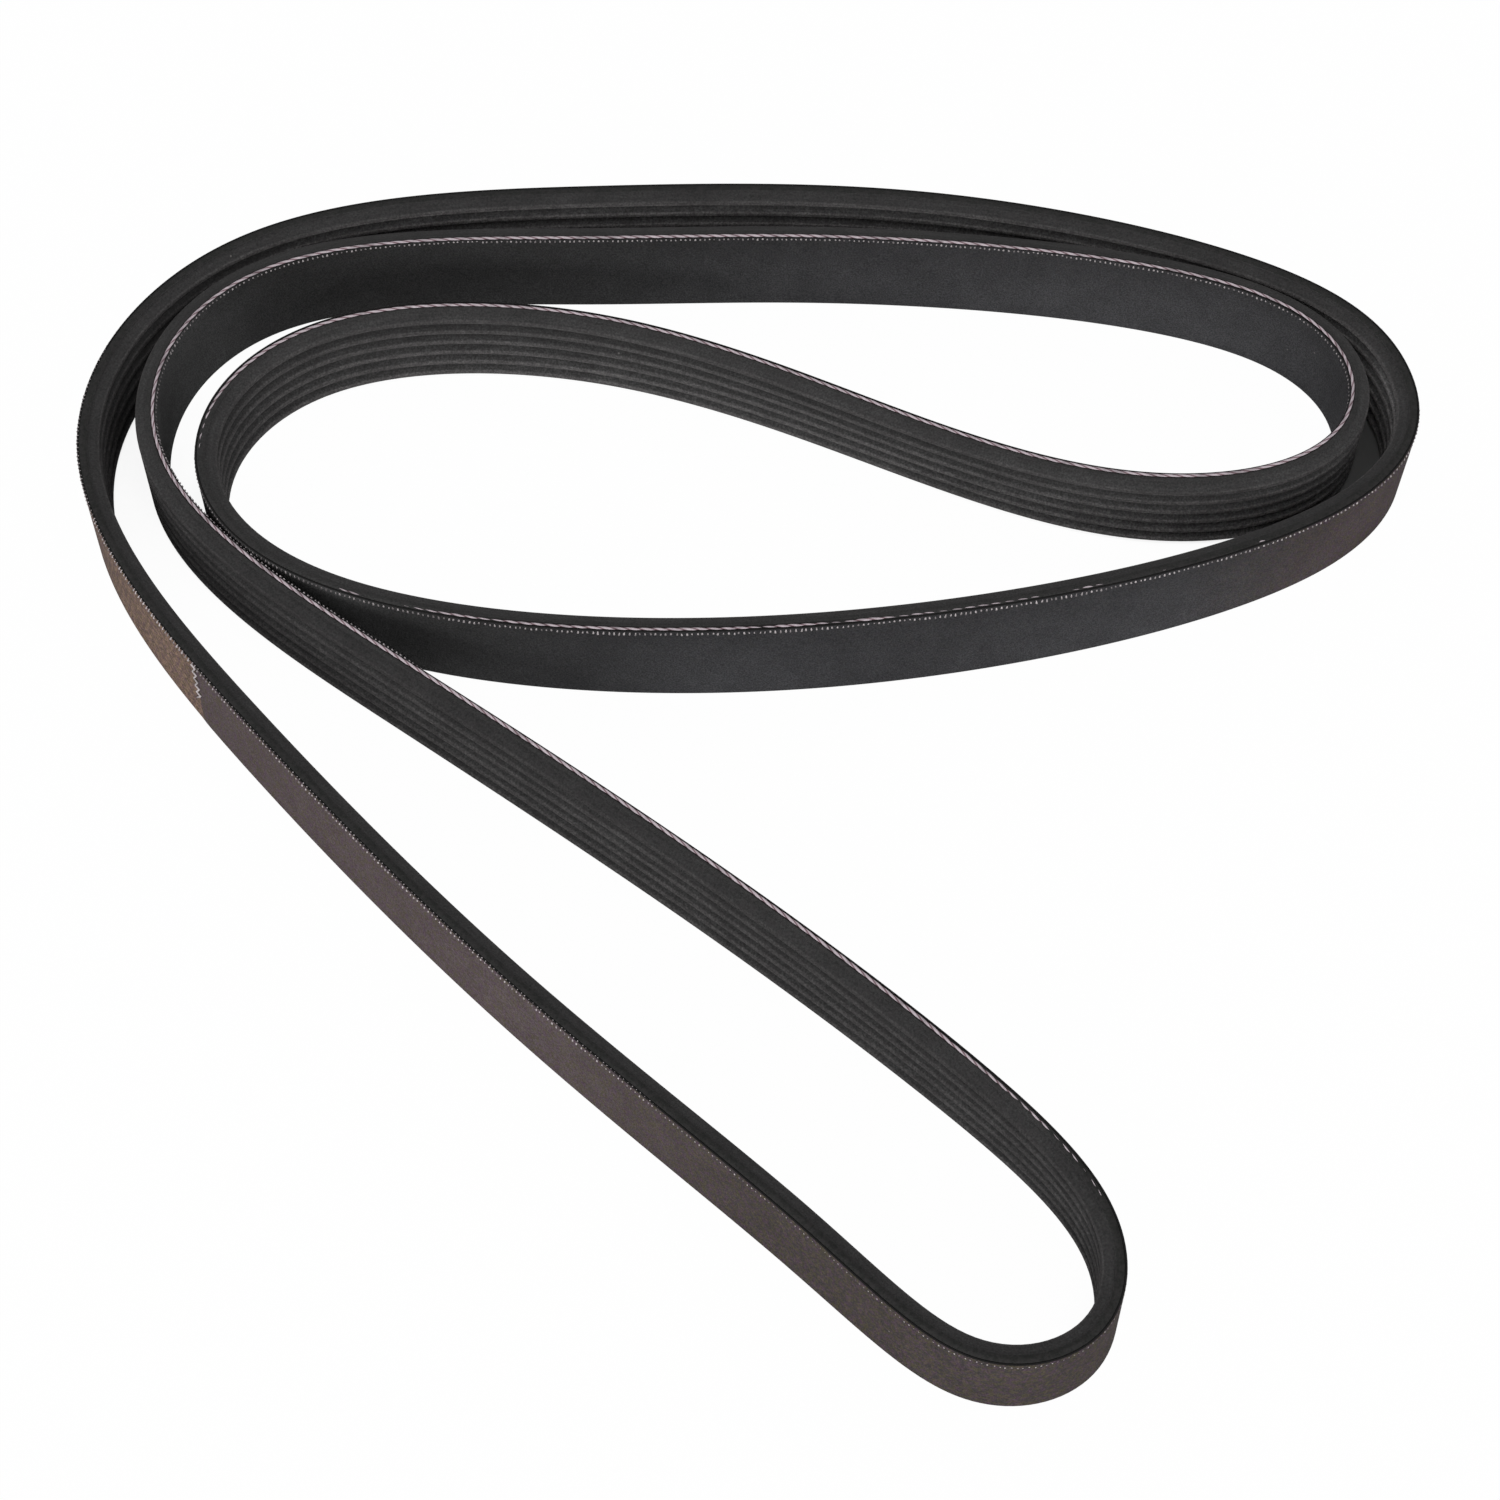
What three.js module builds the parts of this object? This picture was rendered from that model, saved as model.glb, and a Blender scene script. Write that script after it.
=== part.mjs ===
// Ribbed drive belt, endless, standing on its cut edge and laid in loose loops.
// Millimetres, +Z up. The origin is under the middle of the laid belt, on the floor that the edge rests on.
// The belt is one moulded piece: its section is turned into a hoop and the hoop is then laid along a route.
import * as THREE from "three";

// Section
const ribs = 6;
const ribPitch = 3.56;      // rib to rib across the belt
const thick = 4.5;          // back face to rib tips
const ribHeight = 2.3;      // groove floor to rib tip
const ribTip = 1.15;        // flat width on a rib's tip
const flankAngle = 20;      // each flank from the rib's own middle plane, in degrees
const backBevel = 0.3;      // worn corner between the back and a cut edge
const cordDepth = 1.0;      // back face to the middle of the load cord
const cordWidth = 1.0;      // load cord bared along the top cut edge
const cordProud = 0.2;      // how far the bared cord stands out of the cut edge

// Lay
const ribGap = 0.7;         // air between two runs whose ribs face each other
const rings = 176;          // sections along the belt
const bendStep = 7.5;       // most turn between two sections, in degrees
const straightStep = 40;    // most length between two sections on a straight run

const width = ribs * ribPitch;
const rad = THREE.MathUtils.degToRad;

// Route of the back face, seen from above, as the points that pull a smooth closed curve towards them.
// Each row is x, y and lean: how far the top edge tips towards the rib side, in degrees.
// A fourth value is a bearing: that row's point is carried along it by `hug`, so the inner run
// keeps its place beside the outer one when the thickness changes.
const hug = 2 * thick + ribGap;
const route = [
  // front hairpin
  [74, -105, 1.5],
  [70.5, -133, 2.5],
  [40.5, -140, -0.5],
  [13.5, -111.5, 3.5],
  // long run back to the left
  [-44, -65.5, 2],
  [-102.5, -5.5, 3],
  // outer loop: left, far side, right
  [-156, 60, 0],
  [-121.5, 128.5, 0],
  [-34.5, 135, 0],
  [40, 138, 0],
  [118.5, 118, 0],
  [146, 91.5, 0],
  [140.5, 46.5, -0.5],
  // third run, coming back in front of the loop, and the bend inside its left end
  [16, 10.5, 6],
  [-94, 18.5, 0.5],
  [-126, 59.5, 0],
  [-100.5, 102.5, 0],
  // fourth run, ribs to the front, and the bend inside the right end
  [-27, 103.5, 1.5],
  [37.5, 73.5, 8],
  [84.5, 55.5, 3],
  [142, 66.5, -1, 188],
  [133, 120, -0.5, 240],
  // fifth run, close inside the far side of the loop
  [21.5, 131.5, 2.5, 270],
  [-33, 126.5, 3, 270],
  [-123.5, 126.5, 0, 304],
  // left bend and the run forward to the hairpin
  [-137, 56, 0],
  [-70, 9.5, -3.5],
  [-4.5, -36.5, -3.5],
  [47, -78, -2],
].map(([x, y, lean, bearing]) => bearing === undefined
  ? [x, y, lean]
  : [x + hug * Math.cos(rad(bearing)), y + hug * Math.sin(rad(bearing)), lean]);

// Place, heading and lean on the route at u, counted in route points.
function onRoute(u) {
  const first = Math.floor(u);
  const t = u - first;
  const pull = [(1 - t) ** 3, 3 * t ** 3 - 6 * t ** 2 + 4, -3 * t ** 3 + 3 * t ** 2 + 3 * t + 1, t ** 3];
  const turn = [-((1 - t) ** 2), 3 * t ** 2 - 4 * t, -3 * t ** 2 + 2 * t + 1, t ** 2];
  const sum = (weights, column, share) => weights.reduce((total, weight, k) =>
    total + weight * share * route[(first + k - 1 + route.length) % route.length][column], 0);
  const heading = new THREE.Vector2(sum(turn, 0, 1 / 2), sum(turn, 1, 1 / 2));
  return {
    place: new THREE.Vector2(sum(pull, 0, 1 / 6), sum(pull, 1, 1 / 6)),
    heading,
    lean: Math.tan(rad(sum(pull, 2, 1 / 6))),
  };
}

// Where the sections stand: close together in the bends and wide apart on the straight runs.
function sectionPlaces() {
  const fine = 4000;
  const step = route.length / fine;
  const effort = [0];
  for (let i = 0; i < fine; i++) {
    const here = onRoute(i * step);
    const next = onRoute((i + 1) * step);
    const length = next.place.distanceTo(here.place);
    const bend = Math.abs(here.heading.cross(next.heading)) / (here.heading.length() * next.heading.length());
    effort.push(effort[i] + length / straightStep + bend / rad(bendStep));
  }
  const places = [];
  for (let ring = 0, i = 0; ring < rings; ring++) {
    const wanted = effort[fine] * ring / rings;
    while (effort[i + 1] < wanted) i++;
    places.push((i + (wanted - effort[i]) / (effort[i + 1] - effort[i])) * step);
  }
  return places;
}

// Section outline as (distance from the back face, height above the resting edge), anticlockwise.
function sectionOutline() {
  const flankRun = ribHeight * Math.tan(rad(flankAngle));
  const ribRoot = ribTip / 2 + flankRun;
  const floor = thick - ribHeight;
  const outline = [[backBevel, 0], [floor, 0]];
  for (let rib = 0; rib < ribs; rib++) {
    const middle = (rib + 0.5) * ribPitch;
    outline.push([floor, middle - ribRoot], [thick, middle - ribTip / 2],
      [thick, middle + ribTip / 2], [floor, middle + ribRoot]);
  }
  outline.push([floor, width],
    [cordDepth + cordWidth / 2, width], [cordDepth + cordWidth / 4, width + cordProud],
    [cordDepth - cordWidth / 4, width + cordProud], [cordDepth - cordWidth / 2, width],
    [backBevel, width], [0, width - backBevel], [0, backBevel]);
  return outline.map(([depth, height]) => new THREE.Vector2(depth, height));
}

// The hoop as moulded, then laid along the route on its cut edge.
function laidBelt() {
  const outline = sectionOutline();
  const hoop = new THREE.LatheGeometry([...outline, outline[0]], rings);
  const spots = sectionPlaces().map(onRoute);
  const position = hoop.attributes.position;
  const column = outline.length + 1;
  for (let i = 0; i < position.count; i++) {
    const spot = spots[Math.floor(i / column) % rings];
    const { x: depth, y: height } = outline[i % column % outline.length];
    const toRibs = new THREE.Vector2(spot.heading.y, -spot.heading.x).normalize();
    const off = depth + height * spot.lean;
    position.setXYZ(i, spot.place.x + toRibs.x * off, spot.place.y + toRibs.y * off, height);
  }
  hoop.computeBoundingBox();
  const middle = hoop.boundingBox.getCenter(new THREE.Vector3());
  hoop.translate(-middle.x, -middle.y, 0);
  hoop.computeVertexNormals();
  return hoop;
}

const rubber = new THREE.MeshStandardMaterial({ color: 0x35353a, roughness: 0.82, metalness: 0 });

const group = new THREE.Group();
const belt = new THREE.Mesh(laidBelt(), rubber);
belt.name = "belt";
group.add(belt);

export default group;
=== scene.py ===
"""Looks of a ribbed drive belt laid in loose loops on its cut edge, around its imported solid."""

import math
import random

import bmesh
import bpy
from mathutils import Matrix, Vector, noise

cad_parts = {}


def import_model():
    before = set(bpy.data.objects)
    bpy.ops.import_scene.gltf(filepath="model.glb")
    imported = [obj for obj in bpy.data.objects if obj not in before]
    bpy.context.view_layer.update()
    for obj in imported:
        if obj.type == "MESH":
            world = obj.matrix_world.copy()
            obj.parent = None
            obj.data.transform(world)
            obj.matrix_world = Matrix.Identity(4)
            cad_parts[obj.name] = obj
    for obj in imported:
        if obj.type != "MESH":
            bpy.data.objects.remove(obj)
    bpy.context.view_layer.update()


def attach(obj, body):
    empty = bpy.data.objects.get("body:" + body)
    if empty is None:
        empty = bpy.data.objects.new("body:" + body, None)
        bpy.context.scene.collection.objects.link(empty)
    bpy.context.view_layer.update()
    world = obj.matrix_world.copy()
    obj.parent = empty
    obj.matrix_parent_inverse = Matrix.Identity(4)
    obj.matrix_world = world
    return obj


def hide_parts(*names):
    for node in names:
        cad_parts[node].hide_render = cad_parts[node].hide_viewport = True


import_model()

MM = 0.001
TURN = 2 * math.pi

# Section of the belt, as in the part's source, in metres
RIBS = 6
RIB_PITCH = 3.56 * MM
THICK = 4.5 * MM
RIB_HEIGHT = 2.3 * MM
RIB_TIP = 1.15 * MM
FLANK_ANGLE = math.radians(20)
WIDTH = RIBS * RIB_PITCH
FABRIC_PLY = 0.5 * MM
PLY_OVERLAP = 0.1 * MM      # how far the rubber reaches into the back of the fabric ply

# Lap seam of the fabric: its place along the belt at the upper edge, and its slant on the way down
SEAM = 0.2609
SEAM_SLANT = 0.03

# Route of the back face: x, y in millimetres, lean in degrees, and for some a bearing to carry it along
HUG = 2 * THICK / MM + 0.7
ROUTE = [
    (74, -105, 1.5), (70.5, -133, 2.5), (40.5, -140, -0.5), (13.5, -111.5, 3.5),
    (-44, -65.5, 2), (-102.5, -5.5, 3),
    (-156, 60, 0), (-121.5, 128.5, 0), (-34.5, 135, 0), (40, 138, 0), (118.5, 118, 0), (146, 91.5, 0),
    (140.5, 46.5, -0.5),
    (16, 10.5, 6), (-94, 18.5, 0.5), (-126, 59.5, 0), (-100.5, 102.5, 0),
    (-27, 103.5, 1.5), (37.5, 73.5, 8), (84.5, 55.5, 3), (142, 66.5, -1, 188), (133, 120, -0.5, 240),
    (21.5, 131.5, 2.5, 270), (-33, 126.5, 3, 270), (-123.5, 126.5, 0, 304),
    (-137, 56, 0), (-70, 9.5, -3.5), (-4.5, -36.5, -3.5), (47, -78, -2),
]


def pulled(row):
    x, y, lean, *bearing = row
    for angle in bearing:
        x += HUG * math.cos(math.radians(angle))
        y += HUG * math.sin(math.radians(angle))
    return x * MM, y * MM, lean


def route_table(steps=8000):
    """Place, heading and lean at even steps of the route, with the length run so far."""
    points = [pulled(row) for row in ROUTE]
    count = len(points)
    table = []
    for i in range(steps + 1):
        u = i * count / steps
        first = math.floor(u)
        t = u - first
        pull = ((1 - t) ** 3 / 6, (3 * t ** 3 - 6 * t ** 2 + 4) / 6,
                (-3 * t ** 3 + 3 * t ** 2 + 3 * t + 1) / 6, t ** 3 / 6)
        turn = (-((1 - t) ** 2) / 2, (3 * t ** 2 - 4 * t) / 2, (-3 * t ** 2 + 2 * t + 1) / 2, t ** 2 / 2)
        near = [points[(first + k - 1) % count] for k in range(4)]
        place = Vector((sum(w * p[0] for w, p in zip(pull, near)), sum(w * p[1] for w, p in zip(pull, near))))
        heading = Vector((sum(w * p[0] for w, p in zip(turn, near)),
                          sum(w * p[1] for w, p in zip(turn, near)))).normalized()
        lean = math.tan(math.radians(sum(w * p[2] for w, p in zip(pull, near))))
        run = table[-1][0] + (place - table[-1][1]).length if table else 0.0
        table.append((run, place, heading, lean))
    return table


TABLE = route_table()
LENGTH = TABLE[-1][0]
HOOP = LENGTH / TURN
RUNS = [row[0] for row in TABLE]


def middle_of_outline():
    back = [place + Vector((heading.y, -heading.x)) * height * lean
            for _, place, heading, lean in TABLE for height in (0.0, WIDTH)]
    return Vector([(min(p[axis] for p in back) + max(p[axis] for p in back)) / 2 for axis in (0, 1)])


MIDDLE = middle_of_outline()


def laid(run, depth, height):
    """The point of the laid belt at a length run, a depth from the back face and a height over the floor."""
    run %= LENGTH
    low, high = 0, len(RUNS) - 1
    while high - low > 1:
        mid = (low + high) // 2
        if RUNS[mid] <= run:
            low = mid
        else:
            high = mid
    share = (run - RUNS[low]) / (RUNS[high] - RUNS[low])
    place = TABLE[low][1].lerp(TABLE[high][1], share)
    heading = TABLE[low][2].lerp(TABLE[high][2], share).normalized()
    lean = TABLE[low][3] + (TABLE[high][3] - TABLE[low][3]) * share
    off = depth + height * lean
    return Vector((place.x + heading.y * off - MIDDLE.x, place.y - heading.x * off - MIDDLE.y, height))


def ease(low, high, value):
    t = min(1.0, max(0.0, (value - low) / (high - low)))
    return t * t * (3 - 2 * t)


def between(run, stops):
    """The value at a length run, eased from stop to stop."""
    for (a, low), (b, high) in zip(stops, stops[1:]):
        if run <= b:
            return low + (high - low) * ease(a, b, run)
    return stops[-1][1]


# Load cord in the upper cut edge: length run in metres, then millimetres.
# The cut runs a little off true, so the cord comes out nearer the back in some places than in others,
# and stands bare, shows in dashes or stays under the rubber.
CORD_DEPTH = [(0.690, 0.95), (0.860, 0.80), (0.960, 0.90), (1.015, 1.02), (1.100, 0.98), (1.170, 0.90),
              (1.200, 0.78), (1.245, 0.60), (1.280, 0.95), (1.330, 0.66), (1.545, 0.60), (1.620, 0.65),
              (1.700, 0.68), (1.740, 0.80), (1.780, 0.98), (1.820, 1.05)]
CORD_RISE = [(0.697, -0.55), (0.712, -0.39), (0.765, -0.35), (0.780, -0.31), (0.815, -0.27), (0.845, -0.17),
             (0.870, -0.18), (0.900, -0.27), (0.912, -0.38), (0.965, -0.40), (0.985, -0.25), (1.000, -0.05),
             (1.770, -0.05), (1.783, -0.20), (1.792, -0.29), (1.803, -0.31), (1.8155, -0.31), (1.8180, -0.55)]


def hoop_section(bm, corners, rounds):
    """A wire section stood on the hoop, with the listed corners rounded."""
    verts = [bm.verts.new((HOOP - depth, 0, height)) for depth, height in corners]
    for i, vert in enumerate(verts):
        bm.edges.new((vert, verts[(i + 1) % len(verts)]))
    for radius, picks in rounds:
        bmesh.ops.bevel(bm, geom=[verts[i] for i in picks], offset=radius, offset_type="OFFSET", segments=3,
                        affect="VERTICES", profile=0.5, material=-1)


def turn_hoop(bm, steps):
    bmesh.ops.spin(bm, geom=bm.verts[:] + bm.edges[:], cent=(0, 0, 0), axis=(0, 0, 1), dvec=(0, 0, 0),
                   angle=TURN, steps=steps, use_merge=True)
    bmesh.ops.recalc_face_normals(bm, faces=bm.faces[:])


def lay_hoop(bm, shift=None):
    """Marks each face with its place along and across the belt, then lays the hoop on the route."""
    layer = bm.loops.layers.uv.new("along_across")
    for face in bm.faces:
        middle = face.calc_center_median()
        around = math.atan2(middle.y, middle.x) % TURN
        for loop in face.loops:
            co = loop.vert.co
            own = math.atan2(co.y, co.x) % TURN
            own += TURN * round((around - own) / TURN)
            loop[layer].uv = (own * HOOP, HOOP - math.hypot(co.x, co.y))
    for vert in bm.verts:
        co = vert.co
        run = (math.atan2(co.y, co.x) % TURN) * HOOP
        depth, height = HOOP - math.hypot(co.x, co.y), co.z
        if shift:
            depth, height = shift(run, depth, height)
        vert.co = laid(run, depth, height)


def piece(name, bm, material):
    mesh = bpy.data.meshes.new(name)
    bm.to_mesh(mesh)
    bm.free()
    mesh.shade_smooth()
    return dress(bpy.data.objects.new(name, mesh), material)


def dress(obj, material):
    bpy.context.scene.collection.objects.link(obj)
    obj.data.materials.append(material)
    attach(obj, "root")
    return obj


# Materials


class Nodes:
    """A short way to write a material's nodes."""

    def __init__(self, name):
        self.material = bpy.data.materials.new(name)
        self.material.use_nodes = True
        self.tree = self.material.node_tree
        self.tree.nodes.clear()
        self.shader = self.add("ShaderNodeBsdfPrincipled")
        out = self.add("ShaderNodeOutputMaterial")
        self.tree.links.new(self.shader.outputs["BSDF"], out.inputs["Surface"])

    def add(self, kind, **values):
        node = self.tree.nodes.new(kind)
        for key, value in values.items():
            setattr(node, key, value)
        return node

    def put(self, socket, value):
        if isinstance(value, bpy.types.NodeSocket):
            self.tree.links.new(value, socket)
        else:
            socket.default_value = value

    def noise(self, scale, detail=2.0, rough=0.5, vector=None):
        node = self.add("ShaderNodeTexNoise")
        self.put(node.inputs["Vector"], vector or self.object())
        self.put(node.inputs["Scale"], scale)
        self.put(node.inputs["Detail"], detail)
        self.put(node.inputs["Roughness"], rough)
        return node.outputs["Fac"]

    def object(self):
        if not hasattr(self, "coords"):
            self.coords = self.add("ShaderNodeTexCoord").outputs["Object"]
        return self.coords

    def belt(self):
        """Length run along the belt, and depth from its back face, in metres."""
        if not hasattr(self, "across"):
            uv = self.add("ShaderNodeUVMap", uv_map="along_across")
            split = self.add("ShaderNodeSeparateXYZ")
            self.put(split.inputs[0], uv.outputs["UV"])
            self.across = split.outputs["X"], split.outputs["Y"]
        return self.across

    def height(self):
        split = self.add("ShaderNodeSeparateXYZ")
        self.put(split.inputs[0], self.object())
        return split.outputs["Z"]

    def math(self, how, a, b=0.0):
        node = self.add("ShaderNodeMath", operation=how)
        self.put(node.inputs[0], a)
        self.put(node.inputs[1], b)
        return node.outputs[0]

    def span(self, value, low, high, to_low=0.0, to_high=1.0, kind="SMOOTHSTEP"):
        node = self.add("ShaderNodeMapRange", interpolation_type=kind)
        for socket, number in zip(node.inputs, (value, low, high, to_low, to_high)):
            self.put(socket, number)
        return node.outputs[0]

    def stops(self, run, stops):
        """The same easing from stop to stop as `between` gives."""
        total = stops[0][1]
        for (a, low), (b, high) in zip(stops, stops[1:]):
            if high != low:
                total = self.math("ADD", total, self.span(run, a, b, 0.0, high - low))
        return total

    def blend(self, share, a, b):
        node = self.add("ShaderNodeMix", data_type="RGBA")
        self.put(node.inputs[0], share)
        self.put(node.inputs[6], (*a, 1) if isinstance(a, tuple) else a)
        self.put(node.inputs[7], (*b, 1) if isinstance(b, tuple) else b)
        return node.outputs[2]

    def joined(self, x, y, z):
        node = self.add("ShaderNodeCombineXYZ")
        for socket, value in zip(node.inputs, (x, y, z)):
            self.put(socket, value)
        return node.outputs[0]

    def moved(self, by):
        node = self.add("ShaderNodeVectorMath", operation="ADD")
        self.put(node.inputs[0], self.object())
        self.put(node.inputs[1], (by, by, by))
        return node.outputs[0]

    def shaded(self, color, share):
        """The colour made lighter or darker by a share that may pass 1."""
        node = self.add("ShaderNodeVectorMath", operation="SCALE")
        self.put(node.inputs[0], color)
        self.put(node.inputs["Scale"], share)
        return node.outputs[0]

    def specks(self, apart):
        """Sparse bits of lint, a fraction of a millimetre across."""
        cells = self.add("ShaderNodeTexVoronoi")
        self.put(cells.inputs["Vector"], self.object())
        self.put(cells.inputs["Scale"], 1 / apart)
        return self.span(cells.outputs["Distance"], 0.010, 0.022, 0.55, 0.0)

    def bump(self, height, strength, distance):
        node = self.add("ShaderNodeBump")
        self.put(node.inputs["Height"], height)
        self.put(node.inputs["Strength"], strength)
        self.put(node.inputs["Distance"], distance)
        self.put(self.shader.inputs["Normal"], node.outputs["Normal"])

    def finish(self, **values):
        for key, value in values.items():
            self.put(self.shader.inputs[key.replace("_", " ")], value)
        return self.material


# Painted light on the rubber: how much lighter it is painted at the floor than at its upper edge, standing in
# for light from the floor and against the shade between runs, and how much lighter or darker the ribs are
# painted along the belt for the light and shade that fall on them
RUBBER_PAINTED_LIGHT_NEAR_FLOOR = [(0.0, 2.1), (0.03, 1.5), (0.95, 1.5), (1.00, 2.2), (1.15, 2.6), (1.20, 3.3),
                     (1.26, 3.3), (1.30, 1.5), (1.56, 1.5), (1.60, 2.3), (1.66, 2.3), (1.70, 2.1),
                     (1.80, 2.2), (1.82, 2.4)]
RIBS_PAINTED_LIGHT_ALONG = [(0.36, 1.0), (0.42, 2.5), (0.55, 2.5), (0.60, 3.0), (0.68, 3.0), (0.72, 1.0),
              (1.15, 1.0), (1.20, 1.12), (1.26, 1.12), (1.30, 1.0), (1.56, 1.0), (1.60, 0.9),
              (1.70, 0.95), (1.75, 0.88), (1.80, 0.88), (1.82, 1.0)]


def moulded_rubber():
    """Blacker where it holds the cord, greyer in the ribs, with fine marks along their length."""
    m = Nodes("moulded_rubber")
    run, depth = m.belt()
    height = m.height()
    lengthwise = m.joined(m.math("MULTIPLY", run, 90.0), m.math("MULTIPLY", depth, 1500.0),
                          m.math("MULTIPLY", height, 1500.0))
    streaks = m.noise(1.0, 3.0, 0.6, lengthwise)
    cloudy = m.noise(130.0, 4.0, 0.6)
    grain = m.noise(2300.0, 2.0, 0.65)
    hue = m.noise(1100.0, 3.0, 0.6, m.moved(0.23))
    ribbed = m.span(depth, 1.9 * MM, 2.25 * MM)
    tips = m.span(depth, THICK - 0.45 * MM, THICK - 0.10 * MM)
    cut_open = m.math("MULTIPLY", m.span(run, 0.72, 0.80), m.span(run, 1.815, 1.795))
    core = m.blend(cut_open, (0.0195, 0.0200, 0.0190), (0.0330, 0.0330, 0.0325))
    ribs = m.blend(cut_open, (0.0370, 0.0365, 0.0365), (0.0430, 0.0425, 0.0425))
    base = m.blend(ribbed, core, ribs)
    # Paler rib tips: partly worn tips, partly painted light on the tips' faces standing in for light from the
    # front and from the floor
    base = m.blend(tips, base, (0.064, 0.0615, 0.0615))
    # Painted shade: the first rib is painted darker from run 1.56 to the end of the belt
    first_rib = m.span(height, WIDTH - 3.4 * MM, WIDTH - 2.9 * MM)
    first_rib = m.math("MULTIPLY", first_rib, m.stops(run, [(1.56, 0.0), (1.60, 0.32), (1.80, 0.22)]))
    base = m.shaded(base, m.math("SUBTRACT", 1.0, m.math("MULTIPLY", first_rib, ribbed)))
    # Painted light: the rubber is painted lighter towards the floor, more where neighbouring runs shade it
    base = m.shaded(base, m.span(height, WIDTH, 0.0, 1.0, m.stops(run, RUBBER_PAINTED_LIGHT_NEAR_FLOOR), "LINEAR"))
    # Painted light and shade: the ribs below the upper edge are painted lighter or darker along the belt
    base = m.shaded(base, m.span(height, WIDTH - 0.9 * MM, WIDTH - 2.4 * MM, 1.0, m.stops(run, RIBS_PAINTED_LIGHT_ALONG)))
    base = m.shaded(base, m.span(streaks, 0.25, 0.75, 0.84, 1.16))
    base = m.shaded(base, m.span(cloudy, 0.30, 0.70, 0.90, 1.10))
    base = m.shaded(base, m.span(grain, 0.30, 0.72, 0.62, 1.45))
    base = m.blend(m.math("MULTIPLY", m.span(hue, 0.42, 0.62), 0.35), base, (0.047, 0.042, 0.044))
    outer = m.math("MULTIPLY", m.span(depth, 1.0 * MM, 0.8 * MM),
                   m.stops(run, [(0.34, 0.0), (0.38, 0.7), (0.64, 0.7), (0.68, 0.0)]))
    base = m.blend(outer, base, (0.010, 0.010, 0.010))
    beside = m.math("ABSOLUTE", m.math("SUBTRACT", depth, m.math("MULTIPLY", m.stops(run, CORD_DEPTH), MM)))
    lined = m.math("MULTIPLY", m.span(beside, 0.66 * MM, 0.46 * MM),
                   m.span(height, WIDTH - 0.08 * MM, WIDTH - 0.02 * MM))
    lined = m.math("MULTIPLY", lined, m.stops(run, [(0.80, 0.0), (0.83, 0.85), (0.88, 0.85), (0.90, 0.0),
                                                    (0.985, 0.0), (1.00, 0.85), (1.77, 0.85), (1.79, 0.0)]))
    base = m.blend(lined, base, (0.010, 0.0085, 0.0085))
    base = m.blend(m.specks(0.013), base, (0.30, 0.28, 0.27))
    m.bump(m.math("ADD", m.math("MULTIPLY", streaks, 0.6), grain), 0.55, 0.00014)
    return m.finish(Base_Color=base, Roughness=m.span(grain, 0.3, 0.7, 0.68, 0.88), Specular_IOR_Level=0.16)


# Painted light on the fabric: how much lighter or darker it is painted along the belt, lightest where
# neighbouring runs shade it, and how much lighter it is painted at the floor than at its upper edge, standing
# in for light from the floor
FABRIC_PAINTED_LIGHT_ALONG = [(0.10, 1.05), (0.155, 1.24), (0.20, 1.05), (0.25, 1.0), (0.70, 1.0), (0.83, 0.82),
                (0.865, 0.85), (0.905, 1.20), (0.925, 2.6), (0.97, 2.6), (1.00, 1.0), (1.27, 1.02),
                (1.33, 0.95), (1.405, 0.86), (1.455, 1.20), (1.505, 0.87), (1.545, 2.8), (1.60, 1.0)]
FABRIC_PAINTED_LIGHT_NEAR_FLOOR = [(0.69, 1.04), (0.72, 1.6), (0.80, 1.6), (0.865, 3.1), (0.905, 4.4), (0.95, 1.6),
                     (1.20, 1.6), (1.28, 2.6), (1.36, 2.5), (1.41, 3.7), (1.455, 3.2), (1.51, 3.6),
                     (1.55, 1.5), (1.60, 1.04)]


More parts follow.
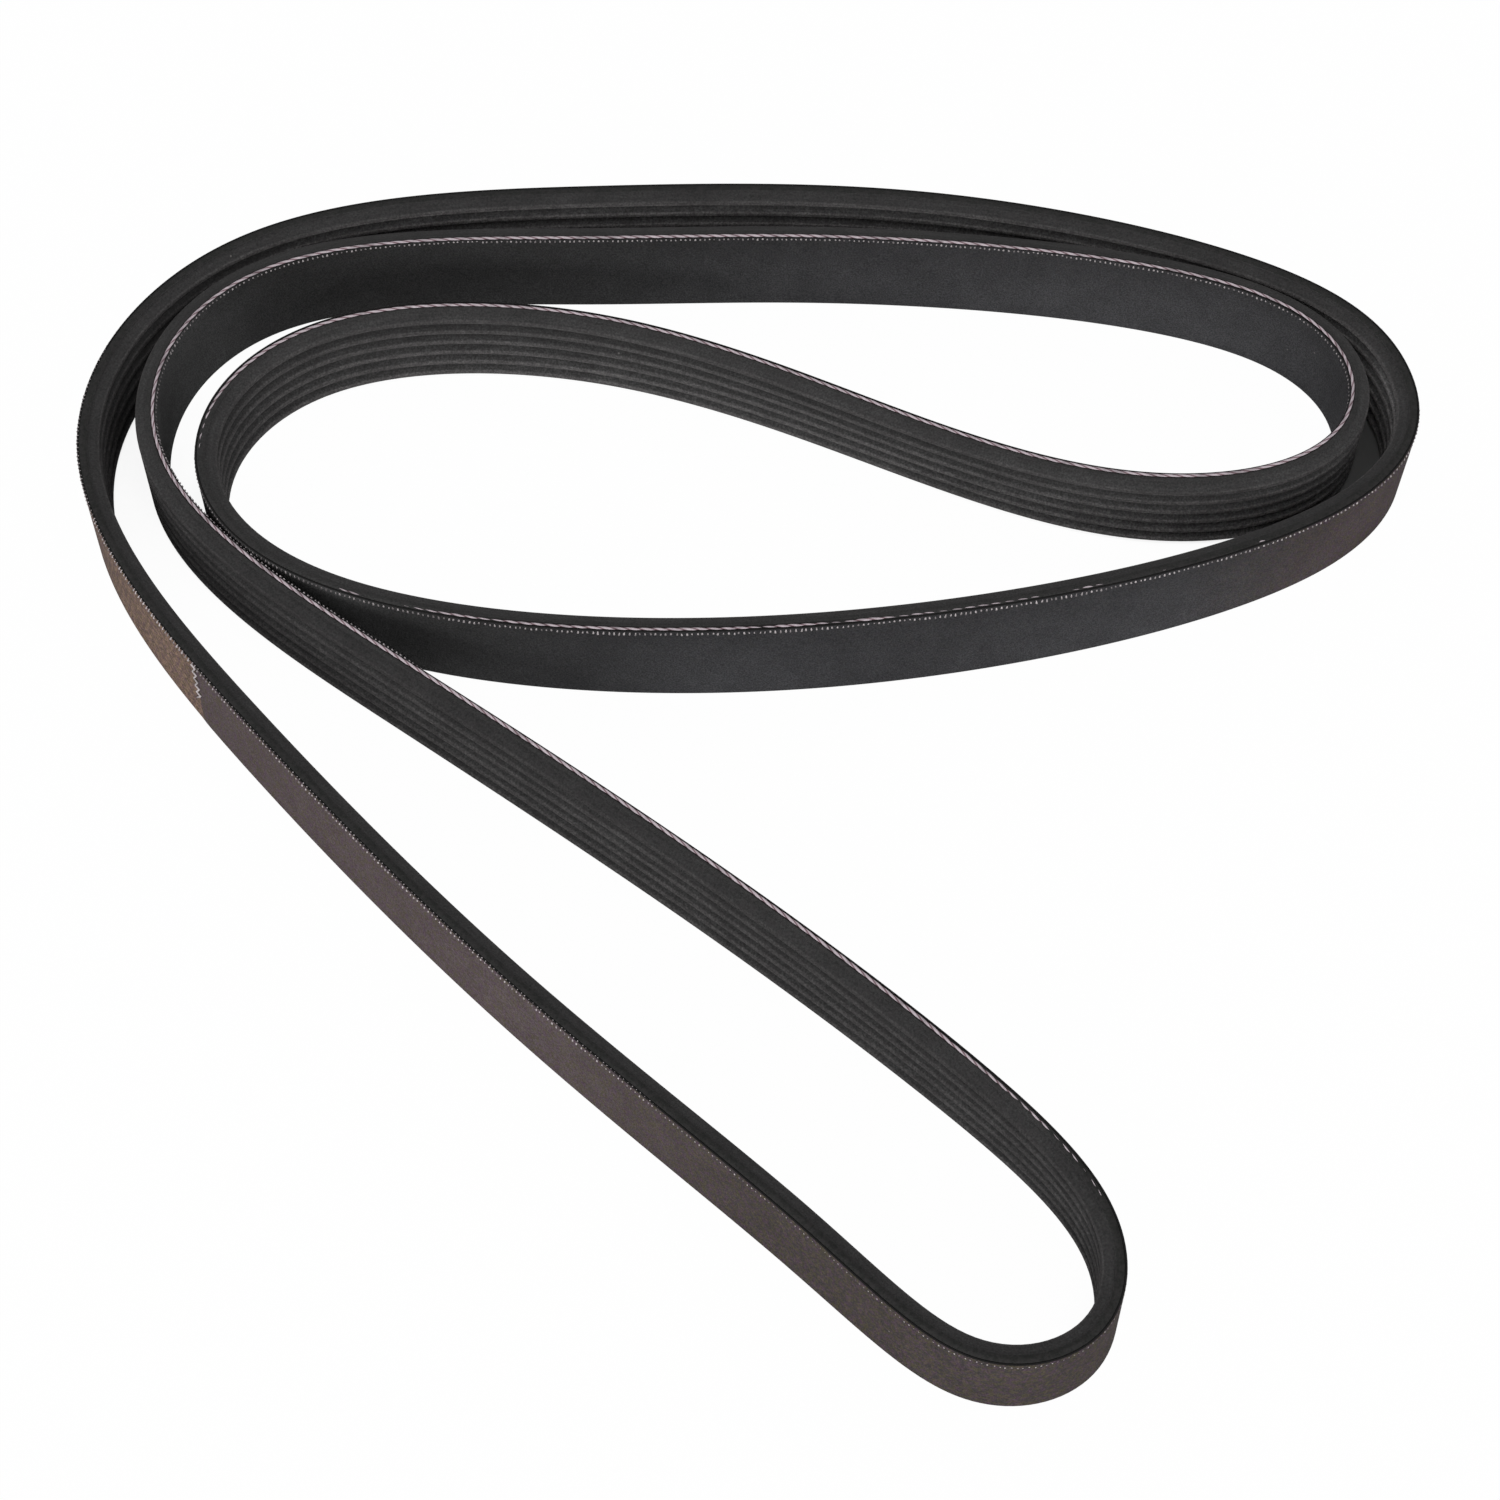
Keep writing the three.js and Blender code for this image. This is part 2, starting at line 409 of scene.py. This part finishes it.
def rubbed_fabric():
    """Fine twill rubbed full of rubber: charcoal, browner along the front run, amber past the lap."""
    m = Nodes("rubbed_fabric")
    run, _ = m.belt()
    height = m.height()
    slant = m.math("ADD", run, m.math("MULTIPLY", height, 1.5))
    twill = m.math("SINE", m.math("MULTIPLY", slant, TURN / (0.66 * MM)))
    weft = m.math("SINE", m.math("MULTIPLY", height, TURN / (0.5 * MM)))
    weave = m.math("ADD", m.math("MULTIPLY", twill, 0.35), m.math("MULTIPLY", weft, 0.15))
    cloudy = m.noise(140.0, 4.0, 0.6)
    tint = m.noise(850.0, 3.0, 0.6)
    other = m.noise(1150.0, 3.0, 0.6, m.moved(0.37))
    grain = m.noise(3000.0, 2.0, 0.6)
    front = m.math("SUBTRACT", 1.0, m.span(run, 0.690, 0.755))
    front = m.math("MAXIMUM", front, m.span(run, 1.765, 1.805))
    far = m.math("MULTIPLY", m.span(run, 0.085, 0.185), m.math("SUBTRACT", 1.0, m.span(run, 0.305, 0.365)))
    charcoal = m.blend(m.span(run, 0.83, 0.91), (0.0440, 0.0442, 0.0472), (0.0290, 0.0292, 0.0294))
    charcoal = m.blend(m.math("MULTIPLY", m.span(run, 1.20, 1.26), m.span(run, 1.46, 1.36)), charcoal,
                       (0.0430, 0.0430, 0.0455))
    base = m.blend(front, charcoal, (0.0450, 0.0395, 0.0395))
    base = m.blend(m.math("MULTIPLY", m.span(run, 0.64, 0.67), m.span(run, 0.73, 0.695)), base,
                   (0.0670, 0.0550, 0.0600))
    base = m.blend(far, base, (0.0880, 0.0700, 0.0740))
    past = m.span(m.math("SUBTRACT", run, m.math("MULTIPLY", m.math("SUBTRACT", WIDTH, height), SEAM_SLANT)),
                  SEAM - 0.0003, SEAM + 0.0003)
    golden = m.math("MULTIPLY", past, m.span(run, 0.325, 0.288))
    bands = m.math("SINE", m.math("MULTIPLY", m.math("ADD", run, m.math("MULTIPLY", height, 0.45)),
                                  TURN / (2.1 * MM)))
    amber = m.blend(m.span(bands, -1.0, 1.0), (0.194, 0.129, 0.103), (0.238, 0.160, 0.118))
    base = m.blend(golden, base, amber)
    # Painted light and shade: the fabric is painted lighter or darker along the belt, lightest where
    # neighbouring runs shade it
    base = m.shaded(base, m.stops(run, FABRIC_PAINTED_LIGHT_ALONG))
    # Painted light: the fabric is painted lighter towards the floor
    base = m.shaded(base, m.span(height, WIDTH, 0.0, 1.0, m.stops(run, FABRIC_PAINTED_LIGHT_NEAR_FLOOR), "LINEAR"))
    coloured = m.math("MULTIPLY", m.math("MAXIMUM", front, 0.08), 0.6)
    base = m.blend(m.math("MULTIPLY", m.span(tint, 0.45, 0.60), coloured), base, (0.086, 0.052, 0.080))
    base = m.blend(m.math("MULTIPLY", m.span(other, 0.45, 0.60), coloured), base, (0.078, 0.068, 0.036))
    base = m.shaded(base, m.span(cloudy, 0.30, 0.70, 0.92, 1.08))
    base = m.shaded(base, m.span(weave, -0.5, 0.5, 1.15, 0.82))
    base = m.shaded(base, m.span(grain, 0.30, 0.72, 0.70, 1.38))
    edge = m.span(height, WIDTH - 0.10 * MM, WIDTH - 0.03 * MM)
    edge = m.math("MAXIMUM", edge, m.span(height, 0.10 * MM, 0.03 * MM))
    base = m.blend(edge, base, (0.018, 0.0175, 0.0175))
    base = m.blend(m.specks(0.012), base, (0.35, 0.32, 0.31))
    m.bump(m.math("ADD", m.math("MULTIPLY", weave, 0.5), grain), 0.45, 0.0001)
    return m.finish(Base_Color=base, Roughness=0.8, Specular_IOR_Level=0.06)


def load_cord():
    """Pale where the plies crown; the valleys between them are painted dark dull red, painted shade in the
    creases between the plies.
    """
    m = Nodes("load_cord")
    _, crown = m.belt()
    tone = m.noise(1500.0, 2.0)
    soil = m.noise(280.0, 3.0)
    base = m.blend(tone, (0.46, 0.38, 0.42), (0.74, 0.66, 0.70))
    # Painted shade: the valleys between the plies are painted dark red
    base = m.blend(m.span(crown, 0.94, 0.80), base, (0.20, 0.115, 0.135))
    base = m.shaded(base, m.span(soil, 0.45, 0.70, 1.05, 0.62))
    m.bump(tone, 0.5, 0.0001)
    return m.finish(Base_Color=base, Roughness=0.8, Specular_IOR_Level=0.15)


def cut_fibre():
    m = Nodes("cut_fibre")
    tone = m.noise(520.0, 2.0)
    base = m.blend(m.span(tone, 0.34, 0.60), (0.26, 0.235, 0.24), (0.60, 0.55, 0.56))
    return m.finish(Base_Color=base, Roughness=0.8, Specular_IOR_Level=0.15)


RUBBER = moulded_rubber()
FABRIC = rubbed_fabric()
CORD = load_cord()
FIBRE = cut_fibre()


# Rubber body with its ribs

def rubber_body():
    bm = bmesh.new()
    floor = THICK - RIB_HEIGHT
    root = RIB_TIP / 2 + RIB_HEIGHT * math.tan(FLANK_ANGLE)
    inner = FABRIC_PLY - PLY_OVERLAP
    corners = [(inner, 0), (floor, 0)]
    tips, roots = [], []
    for rib in range(RIBS):
        middle = (rib + 0.5) * RIB_PITCH
        first = len(corners)
        corners += [(floor, middle - root), (THICK, middle - RIB_TIP / 2), (THICK, middle + RIB_TIP / 2),
                    (floor, middle + root)]
        roots += [first, first + 3]
        tips += [first + 1, first + 2]
    corners += [(floor, WIDTH), (inner, WIDTH)]
    hoop_section(bm, corners, [(0.3 * MM, tips), (0.12 * MM, roots)])
    turn_hoop(bm, 900)
    lay_hoop(bm)
    body = piece("rubber_body", bm, RUBBER)
    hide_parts("belt")


def fabric_back():
    bm = bmesh.new()
    corners = [(0, 0), (FABRIC_PLY, 0), (FABRIC_PLY, WIDTH), (0, WIDTH)]
    hoop_section(bm, corners, [(0.22 * MM, [0, 3])])
    long_edge = [e for e in bm.edges if all(v.co.x > HOOP - 1e-6 for v in e.verts)]
    bmesh.ops.subdivide_edges(bm, edges=long_edge, cuts=11)
    turn_hoop(bm, 1200)

    def sunk_past_lap(run, depth, height):
        seam = SEAM + (WIDTH - height) * SEAM_SLANT
        sunk = ease(seam - 1.2 * MM, seam, run) * (1 - ease(seam + 4 * MM, seam + 60 * MM, run))
        return depth + (0.12 * MM * sunk if depth < 0.2 * MM else 0), height

    lay_hoop(bm, sunk_past_lap)
    piece("fabric_back", bm, FABRIC)


def edge_cord():
    """Two plies twisted together, made straight and then laid along the edge."""
    twist = 5.54 * MM       # one full turn of a ply
    strand = 0.29 * MM      # radius of a ply
    reach = 0.070 * MM      # from the cord's middle to a ply's
    start, end = 0.697, 1.8185
    count = int((end - start) / (twist / 12))
    curve = bpy.data.curves.new("plies", "CURVE")
    curve.dimensions = "3D"
    curve.bevel_depth = strand
    curve.bevel_resolution = 1
    curve.use_fill_caps = True
    for phase in (0.0, math.pi):
        spline = curve.splines.new("POLY")
        spline.points.add(count)
        for i in range(count + 1):
            run = start + (end - start) * i / count
            angle = phase - TURN * run / twist
            spline.points[i].co = (run, reach * math.cos(angle), reach * math.sin(angle), 1)
    straight = bpy.data.objects.new("plies", curve)
    bm = bmesh.new()
    bm.from_mesh(straight.to_mesh())
    straight.to_mesh_clear()
    bpy.data.objects.remove(straight)
    layer = bm.loops.layers.uv.new("along_across")
    for face in bm.faces:
        for loop in face.loops:
            co = loop.vert.co
            loop[layer].uv = (co.x, math.hypot(co.y, co.z) / (reach + strand))
    for vert in bm.verts:
        run, across, up = vert.co
        rise = between(run, CORD_RISE)
        rise += (0.03 if rise > -0.1 else 0.20) * noise.noise(Vector((run * 130, 5.0, 3.0)))
        wobble = 0.05 * noise.noise(Vector((run * 180, 0.0, 3.0)))
        depth = (between(run, CORD_DEPTH) + wobble) * MM + across
        vert.co = laid(run, depth, WIDTH + rise * MM + up)
    bmesh.ops.recalc_face_normals(bm, faces=bm.faces[:])
    piece("edge_cord", bm, CORD)


# Where the cut fibre ends stand up behind the cord, are trimmed away or are shorter
ENDS_RAISED = [(1.55, 0.0), (1.57, 1.0), (1.64, 1.0), (1.65, 0.0)]
ENDS_TRIMMED = [(0.98, 0.0), (1.00, 1.0), (1.24, 1.0), (1.27, 0.0), (1.635, 0.0), (1.65, 1.0)]
ENDS_SHORTER = [(0.262, 0.0), (0.268, 0.35), (0.34, 0.35), (0.36, 0.0), (0.69, 0.0), (0.70, 0.25),
                (0.75, 0.25), (0.77, 0.0), (1.25, 0.0), (1.27, 0.35), (1.52, 0.35), (1.55, 0.0)]


def fibre_ends():
    """Cut ends of the back's threads, standing along the upper corner of the back face."""
    dice = random.Random(7)
    made = bmesh.new()
    bmesh.ops.create_cone(made, cap_ends=True, segments=5, radius1=1.0, radius2=0.55, depth=1.0)
    tuft = bpy.data.meshes.new("tuft")
    made.to_mesh(tuft)
    made.free()
    pitch = 1.06 * MM
    count = int(LENGTH / pitch)
    bm = bmesh.new()
    for i in range(count):
        run = (i + dice.uniform(-0.12, 0.12)) * pitch
        clump = noise.noise(Vector((run * 55, 1.0, 0.0)))
        front = max(ease(0.24, 0.08, run), ease(1.785, 1.815, run))
        raised = between(run, ENDS_RAISED)
        trimmed = between(run, ENDS_TRIMMED)
        tall = dice.uniform(0.55, 0.95) * (1 + 0.4 * front) * (1 if clump > -0.35 else 0.5) * MM
        tall *= 1 - between(run, ENDS_SHORTER)
        wide = dice.uniform(0.20, 0.29) * (1 - 0.25 * front) * MM
        drop = (-0.02 if run < 0.35 else 0.07 + 0.5 * max(0.0, clump)) * MM
        sunk = max(trimmed, ease(0.16, 0.08, run) * 0.55)
        drop += (0.10 * sunk - 0.17 * raised) * MM
        lean = dice.uniform(-0.2, 0.2)
        if trimmed > 0.9:
            continue
        had = len(bm.verts)
        bm.from_mesh(tuft)
        bm.verts.ensure_lookup_table()
        for vert in bm.verts[had:]:
            x, y, z = vert.co.x * wide, vert.co.y * wide * 0.9, (vert.co.z + 0.5) * tall
            under = drop + tall - z
            depth = (0.02 - 0.12 * raised + 0.12 * sunk) * MM + y
            depth += max(0.0, 0.30 * MM - under) * (0.8 - 0.7 * raised)
            vert.co = laid(run + x + z * lean, depth, WIDTH - under)
    bmesh.ops.recalc_face_normals(bm, faces=bm.faces[:])
    bpy.data.meshes.remove(tuft)
    piece("fibre_ends", bm, FIBRE)


def lap_stitch():
    """The pale zigzag where the fabric's end is lapped: a level stroke, then one back and down."""
    curve = bpy.data.curves.new("lap_stitch", "CURVE")
    curve.dimensions = "3D"
    curve.bevel_depth = 0.20 * MM
    curve.bevel_resolution = 1
    curve.use_fill_caps = True
    turns = []
    for i in range(5):
        height = WIDTH - (0.2 + 2.55 * i) * MM
        turns += [(SEAM + (0.7 + 0.04 * i) * MM, height), (SEAM - 0.6 * MM, height - 0.2 * MM)]
    turns.append((SEAM + 1.2 * MM, turns[-1][1] - 2.4 * MM))
    steps = 4
    spline = curve.splines.new("POLY")
    spline.points.add(steps * (len(turns) - 1))
    for i, point in enumerate(spline.points):
        low = min(i // steps, len(turns) - 2)
        share = i / steps - low
        run, height = (a + (b - a) * share for a, b in zip(turns[low], turns[low + 1]))
        point.co = (*laid(run, -0.12 * MM, height), 1)
    dress(bpy.data.objects.new("lap_stitch", curve), FIBRE)


# Floor, light and camera

RIGHT_BEND = (0.1055, 0.085, 0.0)   # middle of the bend inside the right end, on the floor


def stage():
    """A white floor. To the camera it is plain white in the open and lightly shaded where runs enclose it,
    and between the two runs at the right end it is painted dark, a patch of painted shade."""
    bm = bmesh.new()
    bmesh.ops.create_grid(bm, x_segments=1, y_segments=1, size=4.0)
    mesh = bpy.data.meshes.new("floor")
    bm.to_mesh(mesh)
    bm.free()
    floor = bpy.data.objects.new("floor", mesh)
    bpy.context.scene.collection.objects.link(floor)
    m = Nodes("white_floor")
    mesh.materials.append(m.finish(Roughness=0.9, Specular_IOR_Level=0.1))
    white = m.add("ShaderNodeEmission")
    air = m.add("ShaderNodeAmbientOcclusion", samples=8)
    m.put(air.inputs["Distance"], 0.05)
    split = m.add("ShaderNodeSeparateXYZ")
    m.put(split.inputs[0], m.object())
    from_bend = m.add("ShaderNodeVectorMath", operation="DISTANCE")
    m.put(from_bend.inputs[0], m.object())
    m.put(from_bend.inputs[1], RIGHT_BEND)
    away = from_bend.outputs["Value"]
    # Painted shade: a ring of floor between the two runs at the right end, painted dark and kept out of the
    # white
    painted_shade_patch = m.math("MULTIPLY", m.span(away, 0.0225, 0.0255), m.span(away, 0.0365, 0.034))
    painted_shade_patch = m.math("MULTIPLY", painted_shade_patch, m.span(split.outputs["X"], 0.105, 0.112))
    painted_shade_patch = m.math("MULTIPLY", painted_shade_patch, m.span(split.outputs["Y"], 0.098, 0.090))
    # Painted shade: the patch's base colour is dark grey
    m.put(m.shader.inputs["Base Color"], m.blend(painted_shade_patch, (0.96, 0.96, 0.96), (0.30, 0.30, 0.30)))
    rays = m.add("ShaderNodeLightPath")
    seen = m.math("MULTIPLY", m.span(air.outputs["AO"], 0.0, 0.20, 0.80, 0.985),
                  m.math("SUBTRACT", 1.0, painted_shade_patch))
    share = m.math("MULTIPLY", seen, rays.outputs["Is Camera Ray"])
    mix = m.add("ShaderNodeMixShader")
    out = m.tree.nodes["Material Output"]
    for socket, value in zip(mix.inputs, (share, m.shader.outputs["BSDF"], white.outputs["Emission"])):
        m.put(socket, value)
    m.put(out.inputs["Surface"], mix.outputs["Shader"])


def world(level):
    """An even sky at the given level, which the camera and gloss see as plain white."""
    sky = bpy.data.worlds.new("studio")
    sky.use_nodes = True
    nodes, links = sky.node_tree.nodes, sky.node_tree.links
    nodes.clear()
    rays = nodes.new("ShaderNodeLightPath")
    seen = rays.outputs["Is Camera Ray"]
    for name in ("Is Glossy Ray", "Is Transmission Ray"):
        either = nodes.new("ShaderNodeMath")
        either.operation = "MAXIMUM"
        links.new(seen, either.inputs[0])
        links.new(rays.outputs[name], either.inputs[1])
        seen = either.outputs[0]
    mix, out = nodes.new("ShaderNodeMixShader"), nodes.new("ShaderNodeOutputWorld")
    links.new(seen, mix.inputs[0])
    for socket, strength in zip(mix.inputs[1:], (level, 1.0)):
        light = nodes.new("ShaderNodeBackground")
        light.inputs["Strength"].default_value = strength
        light.inputs["Color"].default_value = (1, 1, 1, 1)
        links.new(light.outputs[0], socket)
    links.new(mix.outputs[0], out.inputs["Surface"])
    bpy.context.scene.world = sky


def lamp(name, place, size, level):
    """A square soft lamp aimed at the belt; level is what a face turned to it shows of its own colour."""
    light = bpy.data.lights.new(name, "AREA")
    light.size = size
    light.energy = level * math.pi ** 2 * Vector(place).length_squared
    obj = bpy.data.objects.new(name, light)
    obj.location = place
    obj.rotation_euler = (-Vector(place)).to_track_quat("-Z", "Y").to_euler()
    bpy.context.scene.collection.objects.link(obj)


def camera():
    lens = bpy.data.cameras.new("camera")
    lens.sensor_width = 36.0
    lens.lens = 72.0
    obj = bpy.data.objects.new("camera", lens)
    eye = Vector((1.07 * MM - MIDDLE.x, -311.02 * MM - MIDDLE.y, 532.1 * MM))
    obj.matrix_world = (Matrix.Translation(eye) @ Matrix.Rotation(math.radians(90 - 59.51), 4, "X")
                        @ Matrix.Rotation(math.radians(1.0), 4, "Z"))
    bpy.context.scene.collection.objects.link(obj)
    bpy.context.scene.camera = obj


camera()
world(0.60)
lamp("key", (-0.35, -1.55, 0.42), 1.0, 0.48)
stage()
rubber_body()
fabric_back()
edge_cord()
fibre_ends()
lap_stitch()

bpy.context.scene.view_settings.view_transform = "Standard"
